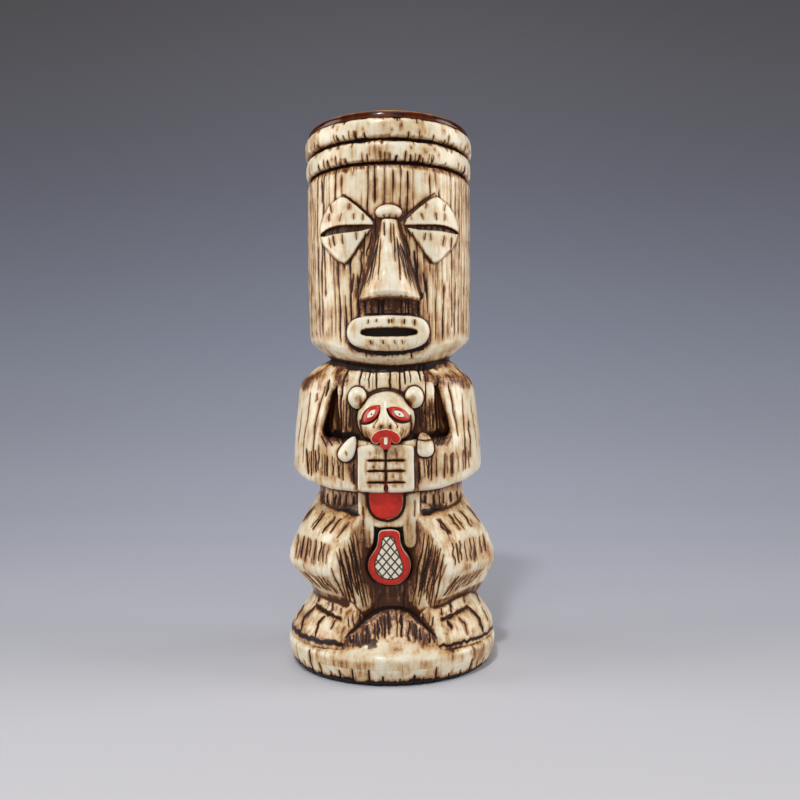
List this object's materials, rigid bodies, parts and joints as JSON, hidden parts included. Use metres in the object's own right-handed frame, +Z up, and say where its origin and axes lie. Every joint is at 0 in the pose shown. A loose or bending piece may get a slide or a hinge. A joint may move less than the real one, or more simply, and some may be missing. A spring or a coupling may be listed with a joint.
{
  "type": "tiki mug",
  "caption": "Tall hollow ceramic mug shaped as a squatting carved figure that holds a small beaver, on a round plinth, open at the top of the head.",
  "frame": {"origin": "middle of the plinth's foot, on the surface it stands on", "axes": "+Z up the mug, the figure's face looks along -Y, and the figure's left side is on +X"},
  "size_m": [0.082, 0.082, 0.21],
  "materials": {
    "stained_clay": "cream clay, satin, with brown and black stain wiped into every groove",
    "red_enamel": "glossy red glaze with black outlines and cream edges",
    "brown_glaze": "very glossy dark amber-brown glaze, lighter where it thins over the lip"
  },
  "bodies": {
    "root": {"plinth": "stained_clay", "torso_shell": "stained_clay", "head_drum": "stained_clay", "crown_band_lower": "stained_clay", "crown_band_upper": "stained_clay", "rim": "brown_glaze", "glaze_lining": "brown_glaze", "left_eye": "stained_clay", "right_eye": "stained_clay", "brow_knob": "stained_clay", "mouth": "stained_clay", "nose": "stained_clay", "left_arm": "stained_clay", "right_arm": "stained_clay", "left_hand": "stained_clay", "right_hand": "stained_clay", "left_thumb": "stained_clay", "right_thumb": "stained_clay", "left_leg": "stained_clay", "right_leg": "stained_clay", "left_foot": "stained_clay", "right_foot": "stained_clay", "mound": "stained_clay", "beaver_head": "stained_clay", "beaver_left_ear": "stained_clay", "beaver_right_ear": "stained_clay", "beaver_left_eye": "red_enamel", "beaver_right_eye": "red_enamel", "beaver_lips": "red_enamel", "beaver_tongue": "red_enamel", "beaver_trunk": "stained_clay", "beaver_belly": "red_enamel", "beaver_left_leg": "stained_clay", "beaver_right_leg": "stained_clay", "beaver_tail": "red_enamel"}
  },
  "joints": []
}
